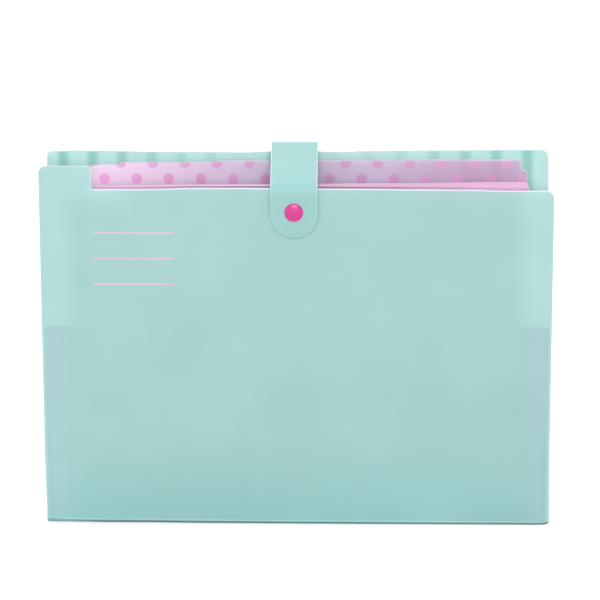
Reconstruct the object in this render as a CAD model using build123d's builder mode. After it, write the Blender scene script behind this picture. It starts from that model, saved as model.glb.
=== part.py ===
from build123d import *
from math import asin, cos, degrees, radians, sin, tan
import os

# Expanding document folder: a folded cover, a fan of dividers, pleated sides and foot, a strap and its snap.
# Millimetres. X runs across, the front faces -Y, Z is up, and the origin is on the floor under the middle.

# Cover: one sheet folded round the spine. Heights on a leaf run along it, up from its crease.
panel_width = 330.0
panel_height = 240.0
cover_sheet = 0.6
corner_radius = 5.0
crease_height = 3.0
fold_radius = 2.0
spine_depth = 22.0
fan_depth = 60.0

# Front panel: a tall ear at the left, the rest of the top edge cut down
ear_width = 32.0
cut_depth = 15.3
ear_corner_radius = 3.0
notch_radius = 1.5

# Half-height pocket sheet inside the front panel
inner_pocket_inset = 1.75
inner_pocket_height = 133.0
inner_pocket_sheet = 0.3
inner_pocket_lift = 0.5
inner_pocket_corner = 2.5

# Dividers: three end just under the front edge, lower towards the left, and the tallest has an index tab
pocket_count = 5
divider_inset = 15.0
divider_sheet = 0.4
divider_lift = 4.5
divider_corner = 2.5
low_divider_drop = 0.7
low_divider_left_step = 2.3
low_divider_right_step = 0.8
tab_left_rise = 9.6
tab_right_rise = 11.5
left_shoulder_width = 34.5
left_shoulder_rise = 7.9
right_shoulder_width = 4.5
right_shoulder_rise = 4.6

# Side pleats: film flaps in a V, with a flange welded to each leaf
pleat_film = 0.25
pleat_flap = 12.0
pleat_flange = 6.0
pleat_foot_gap = 0.3
pleat_top = 208.0
film_clearance = 0.15

# Foot pleats: a V of film under each pocket
foot_pleat_lap = 0.8
foot_pleat_bend = 0.5
foot_pleat_floor_gap = 0.3

# Strap: a bridge from the back edge to the front, then a round-ended tongue
strap_width = 31.0
strap_offset = -1.2
strap_rise = 9.0
strap_back_bend = 5.0
strap_front_bend = 10.0
strap_fold_rise = 3.0
tongue_flat_run = 0.8
tongue_reach = 31.5

# Snap fastener: cap and socket on the tongue, stud and stud cap on the front panel
snap_drop = 14.2
snap_cap_diameter = 12.0
snap_cap_rim = 0.7
snap_cap_height = 1.7
socket_diameter = 10.0
socket_height = 2.4
socket_web = 0.8
socket_bore = 5.4
stud_diameter = 10.0
stud_flange = 1.2
knob_diameter = 4.0
knob_height = 1.5
stud_cap_height = 1.0
post_diameter = 2.4
post_reach = 0.8
post_clearance = 0.1
snap_play = 0.1

# Worked out from the sizes above
front_leaf = 0
back_leaf = pocket_count
half_width = panel_width / 2
half_sheet = cover_sheet / 2
front_edge = panel_height - cut_depth
inner_pocket_half = half_width - inner_pocket_inset
divider_half = half_width - divider_inset
fan_lean = asin((fan_depth - spine_depth) / 2 / panel_height)
snap_height = front_edge - snap_drop
tongue_gap = stud_flange + snap_play + socket_height
post_hole_radius = post_diameter / 2 + post_clearance
foot_pleat_ridge = crease_height + divider_lift + foot_pleat_lap
pleat_bottom = foot_pleat_ridge + pleat_foot_gap

os.makedirs("parts", exist_ok=True)


def finish(builder, name):
    """Name a finished piece and write it."""
    builder.part.label = name
    export_step(builder.part, f"parts/{name}.step")


def lean_of(leaf):
    """How far a leaf leans towards the front, in radians. The leaves open like a fan."""
    return fan_lean * (1 - 2 * leaf / pocket_count)


def foot_of(leaf):
    """Where a leaf stands on the spine, from the front crease to the back one."""
    return spine_depth * (leaf / pocket_count - 1 / 2)


def leaf_y(leaf, z):
    """The middle of a leaf at a height above the floor."""
    return foot_of(leaf) - (z - crease_height) * tan(lean_of(leaf))


def leaf_plane(leaf, outwards=0):
    """A leaf's own plane: X across, Y up the leaf, normal to the front. outwards shifts it to the front."""
    lean = lean_of(leaf)
    normal = (0, -cos(lean), -sin(lean))
    plane = Plane(origin=(0, foot_of(leaf), crease_height), x_dir=(1, 0, 0), z_dir=normal)
    return plane.offset(outwards)


def leaf_point(leaf, height, outwards=0):
    """The Y and Z of a point up a leaf, shifted to the front by outwards."""
    point = leaf_plane(leaf, outwards).from_local_coords((0, height, 0))
    return point.Y, point.Z


def back_half_of(leaf):
    """Half of a leaf's thickness on its back side, with the pocket sheet on the front panel."""
    if leaf == front_leaf:
        return half_sheet + inner_pocket_sheet
    return divider_sheet / 2


def front_half_of(leaf):
    """Half of a leaf's thickness on its front side."""
    if leaf == back_leaf:
        return half_sheet
    return divider_sheet / 2


def pocket_walls(pocket, z):
    """The Y of a pocket's two walls at a height, drawn in by the film's clearance."""
    front, back = pocket - 1, pocket
    front_wall = leaf_y(front, z) + back_half_of(front) / cos(lean_of(front)) + film_clearance
    back_wall = leaf_y(back, z) - front_half_of(back) / cos(lean_of(back)) - film_clearance
    return front_wall, back_wall


# Spine: the flat foot and its two rounded creases
spine_corner_y = spine_depth / 2 - (crease_height - half_sheet) * tan(fan_lean)
with BuildPart() as spine:
    with BuildSketch(Plane.YZ):
        with BuildLine():
            FilletPolyline(
                (-spine_depth / 2, crease_height),
                (-spine_corner_y, half_sheet),
                (spine_corner_y, half_sheet),
                (spine_depth / 2, crease_height),
                radius=fold_radius,
            )
        trace(line_width=cover_sheet)
    extrude(amount=half_width, both=True)
finish(spine, "spine")

# Back panel
with BuildPart() as back_panel:
    with BuildSketch(leaf_plane(back_leaf)):
        with BuildLine():
            FilletPolyline(
                (-half_width, 0),
                (half_width, 0),
                (half_width, panel_height),
                (-half_width, panel_height),
                radius=[0, 0, corner_radius, corner_radius],
                close=True,
            )
        make_face()
    extrude(amount=half_sheet, both=True)
finish(back_panel, "back_panel")

# Front panel: the ear at the left, the cut-down edge, and the hole for the stud's post
ear_edge = ear_width - half_width
with BuildPart() as front_panel:
    with BuildSketch(leaf_plane(front_leaf)):
        with BuildLine():
            FilletPolyline(
                (-half_width, 0),
                (half_width, 0),
                (half_width, front_edge),
                (ear_edge, front_edge),
                (ear_edge, panel_height),
                (-half_width, panel_height),
                radius=[0, 0, corner_radius, notch_radius, ear_corner_radius, corner_radius],
                close=True,
            )
        make_face()
        with Locations((strap_offset, snap_height)):
            Circle(post_hole_radius, mode=Mode.SUBTRACT)
    extrude(amount=half_sheet, both=True)
finish(front_panel, "front_panel")

# Half-height pocket sheet, welded flat to the inside of the front panel
with BuildPart() as front_inner_pocket:
    with BuildSketch(leaf_plane(front_leaf, -half_sheet)):
        with BuildLine():
            FilletPolyline(
                (-inner_pocket_half, inner_pocket_lift),
                (inner_pocket_half, inner_pocket_lift),
                (inner_pocket_half, inner_pocket_height),
                (-inner_pocket_half, inner_pocket_height),
                radius=[0, 0, inner_pocket_corner, inner_pocket_corner],
                close=True,
            )
        make_face()
    extrude(amount=-inner_pocket_sheet)
finish(front_inner_pocket, "front_inner_pocket")


def low_outline(leaf):
    """A low divider's corners and their radii. Each one ends lower than the one in front of it."""
    half = divider_half
    left_top = front_edge - low_divider_drop - (leaf - 1) * low_divider_left_step
    right_top = front_edge - low_divider_drop - (leaf - 1) * low_divider_right_step
    corners = [(-half, divider_lift), (half, divider_lift), (half, right_top), (-half, left_top)]
    return corners, [0, 0, divider_corner, divider_corner]


def tabbed_outline():
    """The tallest divider's corners and their radii: an index tab between two lower shoulders."""
    half = divider_half
    tab_left = left_shoulder_width - half
    tab_right = half - right_shoulder_width
    tab_left_top = front_edge + tab_left_rise
    tab_right_top = front_edge + tab_right_rise
    right_top = front_edge + right_shoulder_rise
    left_top = front_edge + left_shoulder_rise
    corners = [
        (-half, divider_lift),
        (half, divider_lift),
        (half, right_top),
        (tab_right, right_top),
        (tab_right, tab_right_top),
        (tab_left, tab_left_top),
        (tab_left, left_top),
        (-half, left_top),
    ]
    shoulder_corner = min(divider_corner, right_shoulder_width / 2)
    step_corner = min(divider_corner, (tab_left_rise - left_shoulder_rise) / 2)
    radii = [0, 0, shoulder_corner, shoulder_corner, divider_corner, step_corner, step_corner, divider_corner]
    return corners, radii


# Dividers, from the front to the back
tallest_leaf = pocket_count - 1
divider_outlines = [low_outline(leaf) for leaf in range(1, tallest_leaf)] + [tabbed_outline()]
for leaf, (corners, radii) in enumerate(divider_outlines, start=1):
    with BuildPart() as divider:
        with BuildSketch(leaf_plane(leaf)):
            with BuildLine():
                FilletPolyline(*corners, radius=radii, close=True)
            make_face()
        extrude(amount=divider_sheet / 2, both=True)
    finish(divider, f"divider_{leaf}")


def pleat_outline(pocket, z, side):
    """A side pleat cut across at a height: flange, flap out to the ridge, flap back, flange."""
    front_wall, back_wall = pocket_walls(pocket, z)
    half_gap = (back_wall - front_wall) / 2
    middle = front_wall + half_gap
    rise = asin(half_gap / pleat_flap)
    root = divider_half
    ridge = root + pleat_flap * cos(rise)
    inner_root = root - pleat_film * tan(rise / 2)
    inner_ridge = ridge - pleat_film / sin(rise)
    outer = [
        (root - pleat_flange, front_wall),
        (root, front_wall),
        (ridge, middle),
        (root, back_wall),
        (root - pleat_flange, back_wall),
    ]
    inner = [
        (root - pleat_flange, back_wall - pleat_film),
        (inner_root, back_wall - pleat_film),
        (inner_ridge, middle),
        (inner_root, front_wall + pleat_film),
        (root - pleat_flange, front_wall + pleat_film),
    ]
    return [(side * x, y) for x, y in outer + inner]


# Side pleats: ruled from the narrow foot of the fan to its wide top
for pocket in range(1, pocket_count + 1):
    for side, side_name in ((-1, "left"), (1, "right")):
        with BuildPart() as side_pleat:
            for z in (pleat_bottom, pleat_top):
                with BuildSketch(Plane.XY.offset(z)):
                    with BuildLine():
                        Polyline(*pleat_outline(pocket, z, side), close=True)
                    make_face()
            loft(ruled=True)
        finish(side_pleat, f"{side_name}_pleat_{pocket}")

# Foot pleats: each hangs from the feet of its pocket's two walls
foot_pleat_valley = cover_sheet + foot_pleat_floor_gap + pleat_film / 2
for pocket in range(1, pocket_count + 1):
    front_wall, back_wall = pocket_walls(pocket, foot_pleat_ridge)
    with BuildPart() as foot_pleat:
        with BuildSketch(Plane.YZ):
            with BuildLine():
                FilletPolyline(
                    (front_wall + pleat_film / 2, foot_pleat_ridge),
                    ((front_wall + back_wall) / 2, foot_pleat_valley),
                    (back_wall - pleat_film / 2, foot_pleat_ridge),
                    radius=foot_pleat_bend,
                )
            trace(line_width=pleat_film)
        extrude(amount=divider_half, both=True)
    finish(foot_pleat, f"foot_pleat_{pocket}")

# Strap bridge: up from the back edge, forward and down over the fan, and round to the tongue
tongue_offset = half_sheet + tongue_gap + half_sheet
strap_root = leaf_point(back_leaf, panel_height)
strap_top = leaf_point(back_leaf, panel_height + strap_rise)
strap_fold = leaf_point(front_leaf, front_edge + strap_fold_rise, tongue_offset)
slope = Vector(strap_fold[0] - strap_top[0], strap_fold[1] - strap_top[1])
tongue_fall = Vector(sin(fan_lean), -cos(fan_lean))
fold_turn = radians(slope.get_angle(tongue_fall))
tongue_start = front_edge + strap_fold_rise - strap_front_bend * tan(fold_turn / 2) - tongue_flat_run
with BuildPart() as strap_bridge:
    with BuildSketch(Plane.YZ.offset(strap_offset)):
        with BuildLine():
            FilletPolyline(
                strap_root,
                strap_top,
                strap_fold,
                leaf_point(front_leaf, tongue_start, tongue_offset),
                radius=[strap_back_bend, strap_front_bend],
            )
        trace(line_width=cover_sheet)
    extrude(amount=strap_width / 2, both=True)
finish(strap_bridge, "strap_bridge")

# Strap tongue: parallel to the front panel, held off it by the snap
tip_centre = front_edge - tongue_reach + strap_width / 2
tongue_plane = leaf_plane(front_leaf, tongue_offset)
tongue_plane.origin += (strap_offset, 0, 0)
with BuildPart() as strap_tongue:
    with BuildSketch(tongue_plane):
        with BuildLine():
            Polyline(
                (strap_width / 2, tip_centre),
                (strap_width / 2, tongue_start),
                (-strap_width / 2, tongue_start),
                (-strap_width / 2, tip_centre),
            )
            ThreePointArc(
                (-strap_width / 2, tip_centre),
                (0, front_edge - tongue_reach),
                (strap_width / 2, tip_centre),
            )
        make_face()
        with Locations((0, snap_height)):
            Circle(post_hole_radius, mode=Mode.SUBTRACT)
    extrude(amount=half_sheet, both=True)
finish(strap_tongue, "strap_tongue")


def snap_plane(outwards):
    """A plane through the snap's axis: X across, Y along the axis, that far to the front of the panel."""
    base = leaf_plane(front_leaf, outwards)
    centre = base.from_local_coords((strap_offset, snap_height, 0))
    return Plane(origin=centre, x_dir=base.x_dir, z_dir=-base.y_dir)


tongue_front = snap_plane(tongue_offset + half_sheet)
tongue_back = snap_plane(tongue_offset - half_sheet)
panel_front = snap_plane(half_sheet)
panel_back = snap_plane(-half_sheet)
snap_axis = Axis(panel_front.origin, panel_front.y_dir)

# Snap cap: a low dome, with a post through the tongue into the socket
cap_post = -(cover_sheet + post_reach)
with BuildPart() as snap_cap:
    with BuildSketch(tongue_front):
        with BuildLine():
            Polyline(
                (0, snap_cap_height),
                (0, cap_post),
                (post_diameter / 2, cap_post),
                (post_diameter / 2, 0),
                (snap_cap_diameter / 2, 0),
                (snap_cap_diameter / 2, snap_cap_rim),
            )
            TangentArc(
                (0, snap_cap_height),
                (snap_cap_diameter / 2, snap_cap_rim),
                tangent=(1, 0),
            )
        make_face()
    revolve(axis=snap_axis)
finish(snap_cap, "snap_cap")

# Snap socket: a ring with a web against the tongue, which the post goes through
with BuildPart() as snap_socket:
    with BuildSketch(tongue_back):
        with BuildLine():
            Polyline(
                (post_hole_radius, 0),
                (socket_diameter / 2, 0),
                (socket_diameter / 2, -socket_height),
                (socket_bore / 2, -socket_height),
                (socket_bore / 2, -socket_web),
                (post_hole_radius, -socket_web),
                close=True,
            )
        make_face()
    revolve(axis=snap_axis)
finish(snap_socket, "snap_socket")

# Snap stud: a flange on the panel and a knob that stands in the socket, hollow for the stud cap's post
with BuildPart() as snap_stud:
    with BuildSketch(panel_front):
        with BuildLine():
            Polyline(
                (post_hole_radius, 0),
                (stud_diameter / 2, 0),
                (stud_diameter / 2, stud_flange),
                (knob_diameter / 2, stud_flange),
                (knob_diameter / 2, stud_flange + knob_height),
                (0, stud_flange + knob_height),
                (0, post_reach + post_clearance),
                (post_hole_radius, post_reach + post_clearance),
                close=True,
            )
        make_face()
    revolve(axis=snap_axis)
finish(snap_stud, "snap_stud")

# Snap stud cap: a disc inside the front panel, with its post through the panel
with BuildPart() as snap_stud_cap:
    with BuildSketch(panel_back):
        with BuildLine():
            Polyline(
                (0, -stud_cap_height),
                (snap_cap_diameter / 2, -stud_cap_height),
                (snap_cap_diameter / 2, 0),
                (post_diameter / 2, 0),
                (post_diameter / 2, cover_sheet + post_reach),
                (0, cover_sheet + post_reach),
                close=True,
            )
        make_face()
    revolve(axis=snap_axis)
finish(snap_stud_cap, "snap_stud_cap")

# The hinge lines: the fan's at the front crease's inner edge, the tongue's on its outer face
print("fan hinge Y, Z:", leaf_point(front_leaf, 0, -half_sheet))
print("tongue hinge Y, Z:", leaf_point(front_leaf, tongue_start, tongue_offset + half_sheet))
print("fan lean, degrees:", degrees(fan_lean))
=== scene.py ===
import math

import bmesh
import bpy
import numpy as np
from bpy.props import FloatProperty, FloatVectorProperty, PointerProperty
from mathutils import Matrix, Vector, geometry, noise


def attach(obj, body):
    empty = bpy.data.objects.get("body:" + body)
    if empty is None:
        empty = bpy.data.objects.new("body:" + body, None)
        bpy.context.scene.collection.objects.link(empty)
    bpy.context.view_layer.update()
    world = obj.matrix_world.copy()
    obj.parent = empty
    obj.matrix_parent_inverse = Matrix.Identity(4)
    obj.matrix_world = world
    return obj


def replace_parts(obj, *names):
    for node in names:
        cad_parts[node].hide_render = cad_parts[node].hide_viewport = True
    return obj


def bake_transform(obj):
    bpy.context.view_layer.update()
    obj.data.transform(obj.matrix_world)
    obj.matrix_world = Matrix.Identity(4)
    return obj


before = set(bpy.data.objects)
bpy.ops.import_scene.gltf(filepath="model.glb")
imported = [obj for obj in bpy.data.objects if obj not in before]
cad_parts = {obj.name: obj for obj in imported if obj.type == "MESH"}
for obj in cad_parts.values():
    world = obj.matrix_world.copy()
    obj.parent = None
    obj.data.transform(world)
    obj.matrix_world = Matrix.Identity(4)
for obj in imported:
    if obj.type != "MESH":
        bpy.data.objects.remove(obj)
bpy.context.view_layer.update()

bl_info = {
    "name": "Expanding Document Folder",
    "version": (1, 0, 0),
    "blender": (4, 5, 0),
    "location": "3D View > Sidebar > Folder",
    "description": "Builds the looks of an expanding document folder round its packed solids",
    "category": "Object",
}

MM = 0.001
POCKETS = 5
FRONT, BACK = 0, POCKETS
LEAF_BODIES = ["front_cover", "leaf_1", "leaf_2", "leaf_3", "leaf_4", "back_cover"]
PHOTO_PIXELS = 600
# Steps along an outline's straights, round its corners and over a panel's face
RUN, ARC, PANEL_GRID = 7 * MM, 0.6 * MM, 8 * MM
# Points of an outline this close to a line lie on it, and points of a mesh this close are one
TOUCH, WELD = 1e-6, 1e-7
# Most of a noise pattern lies between these
NOISE_LOW, NOISE_HIGH = 0.3, 0.7
# Settings of the nodes that mix colours and of those that fade softly
COLOUR_MIX = {"give": 2, "data_type": "RGBA"}
SMOOTH = {"interpolation_type": "SMOOTHSTEP"}
# How soft edges stray from straight: places across the folder and heights there, in mm
FOOT_BOW = ((-165, 2.6), (-160, 2.2), (-155, 1.8), (-141, 1.25), (-128, 0.95), (-96, 0.9), (-64, 0.5), (0, 0.25),
            (80, 0.1), (120, 0.0))
FRONT_BOW = ((-135, -0.6), (-90, -0.45), (-70, 0.3), (-33, 0.45), (0, 0.08), (30, 0.03), (50, -0.05), (71, -0.25),
             (100, -0.35), (118, -0.5), (128, -1.1), (145, -1.15), (165, -0.8))
BACK_BOW = ((-165, -0.6), (-158, -0.3), (-148, 0.1), (-130, 0.0), (-95, -0.6), (-65, -0.55), (-30, -0.75),
            (15, -0.7), (25, -0.6), (45, 0.35), (55, 0.5), (120, 0.7), (140, 0.9), (165, 0.9))
TAB_BOW = ((-150, -1.5), (-138, -1.2), (-130, -0.1), (-124, 0.3), (-110, -0.2), (-70, -0.3), (-48, 0.45),
           (80, 0.4), (120, 0.0))
LOW_BOW = ((-150, -0.7), (-115, -0.6), (-75, 0.0))
# Each soft light's place and its width and height in metres, and its power in watts
LAMPS = (
    ("key_softbox", (0.1, -2.4, 0.75), (0.7, 0.9), 24.0),
    ("top_softbox", (-0.2, 0.1, 1.9), (1.4, 1.4), 9.0),
    ("fill_softbox", (-1.0, -2.1, 1.0), (1.4, 1.4), 3.0),
    ("left_softbox", (-2.2, 0.3, 0.8), (1.2, 1.2), 12.0),
    ("right_softbox", (2.2, 0.3, 0.8), (1.2, 1.2), 12.0),
    ("back_softbox", (-0.5, 2.3, 1.0), (1.4, 1.4), 13.0),
)


def length(name, description, size):
    """A length a user may change, given in millimetres."""
    return FloatProperty(name=name, description=description, default=size * MM, unit="LENGTH", precision=5)


def linear(hex_colour):
    """An sRGB hex colour as linear red, green, blue and alpha."""
    channels = [int(hex_colour[i:i + 2], 16) / 255 for i in (1, 3, 5)]
    return [c / 12.92 if c <= 0.04045 else ((c + 0.055) / 1.055) ** 2.4 for c in channels] + [1.0]


def colour(name, description, hex_colour):
    """A colour a user may change, given as sRGB hex."""
    return FloatVectorProperty(name=name, description=description, subtype="COLOR", size=4, min=0, max=1,
                               default=linear(hex_colour))


class FolderSizes(bpy.types.PropertyGroup):
    """The sizes of the folder's pieces: the solids' own, but for a few that follow the photograph more closely."""

    panel_width: length("Panel width", "Across the cover", 330)
    panel_height: length("Panel height", "Up a cover panel from its crease", 240)
    cover_sheet: length("Cover sheet", "Thickness of the cover", 0.6)
    corner_radius: length("Corner radius", "Round corners of the cover", 5)
    left_corner: length("Left corner", "Round corner of the back panel at the left", 3)
    crease_height: length("Crease height", "Height of the creases above the floor", 3)
    fold_radius: length("Fold radius", "Middle radius of the folded creases", 2)
    spine_depth: length("Spine depth", "From the front crease to the back one", 22)
    fan_lean: FloatProperty(name="Fan lean", description="How far the front panel leans forward",
                            default=math.asin((60 - 22) / 2 / 240), subtype="ANGLE")
    foot_drift: length("Foot drift", "How far the front crease lies to the right", 0.5)
    ear_width: length("Ear width", "Tall part of the front panel", 33.8)
    cut_depth: length("Cut depth", "How far the front's top edge is cut down", 15.3)
    ear_corner: length("Ear corner", "Round corner of the ear", 3)
    notch_corner: length("Notch corner", "Round corner at the ear's foot", 1.5)
    rim_width: length("Rim width", "Paler line that the die leaves along a cut edge", 0.7)
    rim_drop: length("Rim drop", "How far the die presses that line down", 0.14)
    lining_inset: length("Inner pocket inset", "From the panel's side to the inner pocket's", 1.75)
    lining_height: length("Inner pocket height", "Up the front panel", 133)
    lining_sheet: length("Inner pocket sheet", "Thickness of the inner pocket", 0.3)
    lining_lift: length("Inner pocket lift", "From the crease to the inner pocket", 0.5)
    divider_inset: length("Divider inset", "From the panel's side to the dividers'", 15)
    divider_sheet: length("Divider sheet", "Thickness of a divider", 0.4)
    divider_lift: length("Divider lift", "From the crease to a divider's foot", 4.5)
    divider_corner: length("Divider corner", "Round corners of the dividers", 2.5)
    low_divider_drop: length("Low divider drop", "The first divider ends this far under the front edge", 0.1)
    low_left_step: length("Low left step", "How much lower each next low divider ends at the left", 2.3)
    low_right_step: length("Low right step", "How much lower each next low divider ends at the right", 0.8)
    tab_left_rise: length("Tab left rise", "The tab's left end above the front edge", 9.6)
    tab_right_rise: length("Tab right rise", "The tab's right end above the front edge", 11.5)
    left_shoulder_width: length("Left shoulder width", "Beside the tab", 34.5)
    left_shoulder_rise: length("Left shoulder rise", "Above the front edge", 7.9)
    right_shoulder_width: length("Right shoulder width", "Beside the tab", 4.5)
    right_shoulder_rise: length("Right shoulder rise", "Above the front edge", 4.6)
    film: length("Pleat film", "Thickness of the pleats", 0.25)
    film_clearance: length("Film clearance", "Between a flange and its leaf", 0.15)
    pleat_flap: length("Pleat flap", "From a leaf's edge to the pleat's ridge", 12)
    pleat_flange: length("Pleat flange", "Welded to the leaf", 6)
    pleat_bottom: length("Pleat bottom", "Height above the floor", 8.6)
    pleat_top: length("Pleat top", "Height above the floor", 208)
    foot_ridge: length("Foot pleat ridge", "Height above the floor", 8.3)
    foot_valley: length("Foot pleat valley", "Height above the floor, clear of the spine as the fan closes", 2.0)
    strap_width: length("Strap width", "Across the strap", 31)
    strap_offset: length("Strap offset", "From the folder's middle", -1.5)
    strap_drift: length("Strap drift", "How far the strap runs off to the left at its root", 0.5)
    strap_taper: length("Strap taper", "How much narrower the strap is past its root", 0.9)
    strap_rise: length("Strap rise", "Above the back panel's edge", 8.4)
    strap_back_bend: length("Strap back bend", "Radius over the back edge", 5)
    strap_front_bend: length("Strap front bend", "Radius over the front edge", 10)
    strap_fold_rise: length("Strap fold rise", "Corner of the front bend above the front edge", 5)
    tongue_gap: length("Tongue gap", "Between the tongue and the front panel", 3.7)
    tongue_run: length("Tongue run", "Flat run between the bend and the fold line", 2.8)
    tongue_reach: length("Tongue reach", "Below the front edge", 31.2)
    snap_drop: length("Snap drop", "Below the front edge", 14.6)
    snap_cap: length("Snap cap", "Diameter of the cap", 12)
    snap_ring: length("Snap ring", "Diameter of the socket and the stud", 10)


class FolderColours(bpy.types.PropertyGroup):
    """The folder's colours."""

    mint: colour("Mint", "Cover sheet with dividers behind it", "#ABD5D3")
    # Painted backlight: the cover sheet drawn paler where light would come through it with nothing behind
    mint_painted_backlight: colour("Clear mint", "Cover sheet with nothing behind it", "#B5E1DE")
    mint_lined: colour("Lined mint", "Cover sheet with the inner pocket behind it", "#ABD5D3")
    # Painted tint: the pink pleats drawn on the lined cover sheet as if seen through it
    mint_painted_pleat_tint: colour("Lilac mint", "Lined cover sheet with pink pleats behind it", "#B1D5D9")
    mint_stripe: colour("Stripe", "Tone-on-tone stripes of the back panel", "#88C7BB")
    # Painted backlight: the back panel drawn paler than the front's sheet, as if lit through from behind
    mint_back_painted_backlight: colour("Back mint", "Back panel between the stripes", "#B6E5DE")
    mint_strap: colour("Strap mint", "The strap", "#A2D3D0")
    # Die-cut whitening with a painted highlight, where light catches the front's top edge and the strap's bridge
    mint_edge_whitening_and_highlight: colour("Cut mint edge", "Line that the die leaves on the front panel", "#EDF9FF")
    mint_side_edge: colour("Side mint edge", "Line that the die leaves down the front panel's sides", "#C3E3E6")
    mint_soft_edge: colour("Soft mint edge", "Line that the die leaves on the strap, back and spine", "#BFE8E4")
    pink: colour("Pink", "The tallest divider", "#F6DBFB")
    # Painted light: the tallest divider drawn paler at its left end
    pink_painted_light_left: colour("Pale pink", "The tallest divider's left end", "#FFE9FF")
    # Painted shade: the tallest divider drawn deeper at its right end
    pink_painted_shade_right: colour("Deep pink", "The tallest divider's right end", "#E0B4DC")
    # Painted shade: the low dividers' middle drawn deeper, where the strap's shadow falls and the gap behind the
    # front edge lies in shade
    pink_low_painted_shade: colour("Low pink", "The low dividers", "#D097BF")
    pink_ends: colour("Low pink ends", "The low dividers towards their sides", "#FFC4EE")
    pink_film: colour("Pink film", "Pleats", "#FFDDF3")
    # Die-cut whitening with a painted highlight along the low dividers' top edges
    pink_edge_whitening_and_highlight: colour("Cut pink edge", "Line that the die leaves on a low divider", "#FFCFF1")
    frost: colour("Frosted edge", "Unprinted edge of the tallest divider", "#F3F0FC")
    dot: colour("Dot", "Dots printed on the tallest divider", "#F0AEE2")
    rule: colour("Rule", "Printed writing lines on the front", "#E8C9E2")
    # Painted shade: the spine drawn deeper in tone where it turns under towards the floor
    mint_fold_painted_shade: colour("Folded mint", "Spine, where the sheet is folded under", "#628E8B")
    mint_bend: colour("Bent mint", "Spine, where the bend turns towards the light", "#B4EAE8")
    # Painted shade: the lined cover sheet drawn deeper in tone near the spine
    mint_painted_low_shade: colour("Deep mint", "Lined cover sheet near the spine", "#A0D3D0")
    snap: colour("Snap", "Snap fastener", "#E33B97")
    floor: colour("Floor", "Paper sweep under the folder", "#BDBDBD")


class FolderStage(bpy.types.PropertyGroup):
    """Where the camera stands."""

    camera_distance: length("Camera distance", "From the point that it looks at", 2120.03)
    camera_elevation: FloatProperty(name="Camera elevation", description="Above the horizon",
                                    default=math.radians(11.402), subtype="ANGLE")
    camera_azimuth: FloatProperty(name="Camera azimuth", description="Round to the right",
                                  default=math.radians(1.0), subtype="ANGLE")
    camera_roll: FloatProperty(name="Camera roll", description="Tilt of the picture",
                               default=math.radians(-0.042), subtype="ANGLE")
    aim_across: length("Aim across", "Where the camera looks, across", 1.898)
    aim_height: length("Aim height", "Where the camera looks, above the floor", 148.614)
    focal_pixels: FloatProperty(name="Focal length", description="In pixels of a 600 pixel picture",
                                default=3248.8)


def leaf_lean(s, leaf):
    """How far a leaf leans forward."""
    return s.fan_lean * (1 - 2 * leaf / POCKETS)


def leaf_foot(s, leaf):
    """Where a leaf stands on the spine."""
    return s.spine_depth * (leaf / POCKETS - 1 / 2)


def leaf_point(s, leaf, across, up, out=0.0):
    """A point on a leaf, lifted off its middle to the front by out."""
    lean = leaf_lean(s, leaf)
    y = leaf_foot(s, leaf) - up * math.sin(lean) - out * math.cos(lean)
    z = s.crease_height + up * math.cos(lean) - out * math.sin(lean)
    return Vector((across, y, z))


def front_edge(s):
    """Height of the cut-down front edge up its leaf."""
    return s.panel_height - s.cut_depth


def ease(value, start, end):
    """0 before start, 1 after end and smooth between."""
    t = min(1.0, max(0.0, (value - start) / (end - start)))
    return t * t * (3 - 2 * t)


def wave(across, up, size, seed):
    """A slow, even unevenness from -1 to 1 for a sheet that isn't quite flat."""
    return noise.noise(Vector((across / size, up / size, seed)))


def corner_arc(before, corner, after, radius, least, step):
    """Points of the arc that rounds a corner between two others, with at least so many steps and none above step."""
    point = Vector(corner)
    back, on = (Vector(before) - point).normalized(), (Vector(after) - point).normalized()
    half = back.angle(on) / 2
    centre = point + (back + on).normalized() * (radius / math.sin(half))
    first, last = [point + way * (radius / math.tan(half)) - centre for way in (back, on)]
    start = math.atan2(first.y, first.x)
    turn = (math.atan2(last.y, last.x) - start + math.pi) % (2 * math.pi) - math.pi
    steps = max(least, math.ceil(abs(turn) * radius / step))
    return [centre + radius * Vector((math.cos(angle), math.sin(angle)))
            for angle in (start + turn * k / steps for k in range(steps + 1))]


def rounded_outline(corners, radii, run=RUN, arc_step=ARC):
    """Points round an outline with rounded corners, no further apart than run on its straights."""
    rounded = []
    count = len(corners)
    for i, (corner, radius) in enumerate(zip(corners, radii)):
        neighbours = corners[i - 1], corners[(i + 1) % count]
        rounded.append(corner_arc(neighbours[0], corner, neighbours[1], radius, 4, arc_step) if radius > 0
                       else [Vector(corner)])
    points = []
    for i, part in enumerate(rounded):
        points += part
        gap = rounded[(i + 1) % count][0] - part[-1]
        steps = math.ceil(gap.length / run)
        points += [part[-1] + gap * (k / steps) for k in range(1, steps)]
    return points


def inset_outline(points, width, runs_on):
    """The outline moved inwards, except where it runs on into another sheet."""
    moved = []
    count = len(points)
    for i, point in enumerate(points):
        before, after = points[i - 1], points[(i + 1) % count]
        normals = []
        for a, b in ((before, point), (point, after)):
            along = (b - a).normalized()
            if not runs_on((a + b) / 2):
                normals.append(Vector((-along.y, along.x)))
        if not normals:
            moved.append(point.copy())
        elif len(normals) == 1:
            moved.append(point + normals[0] * width)
        else:
            moved.append(point + (normals[0] + normals[1]) * (width / (1 + normals[0].dot(normals[1]))))
    return moved


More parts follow.
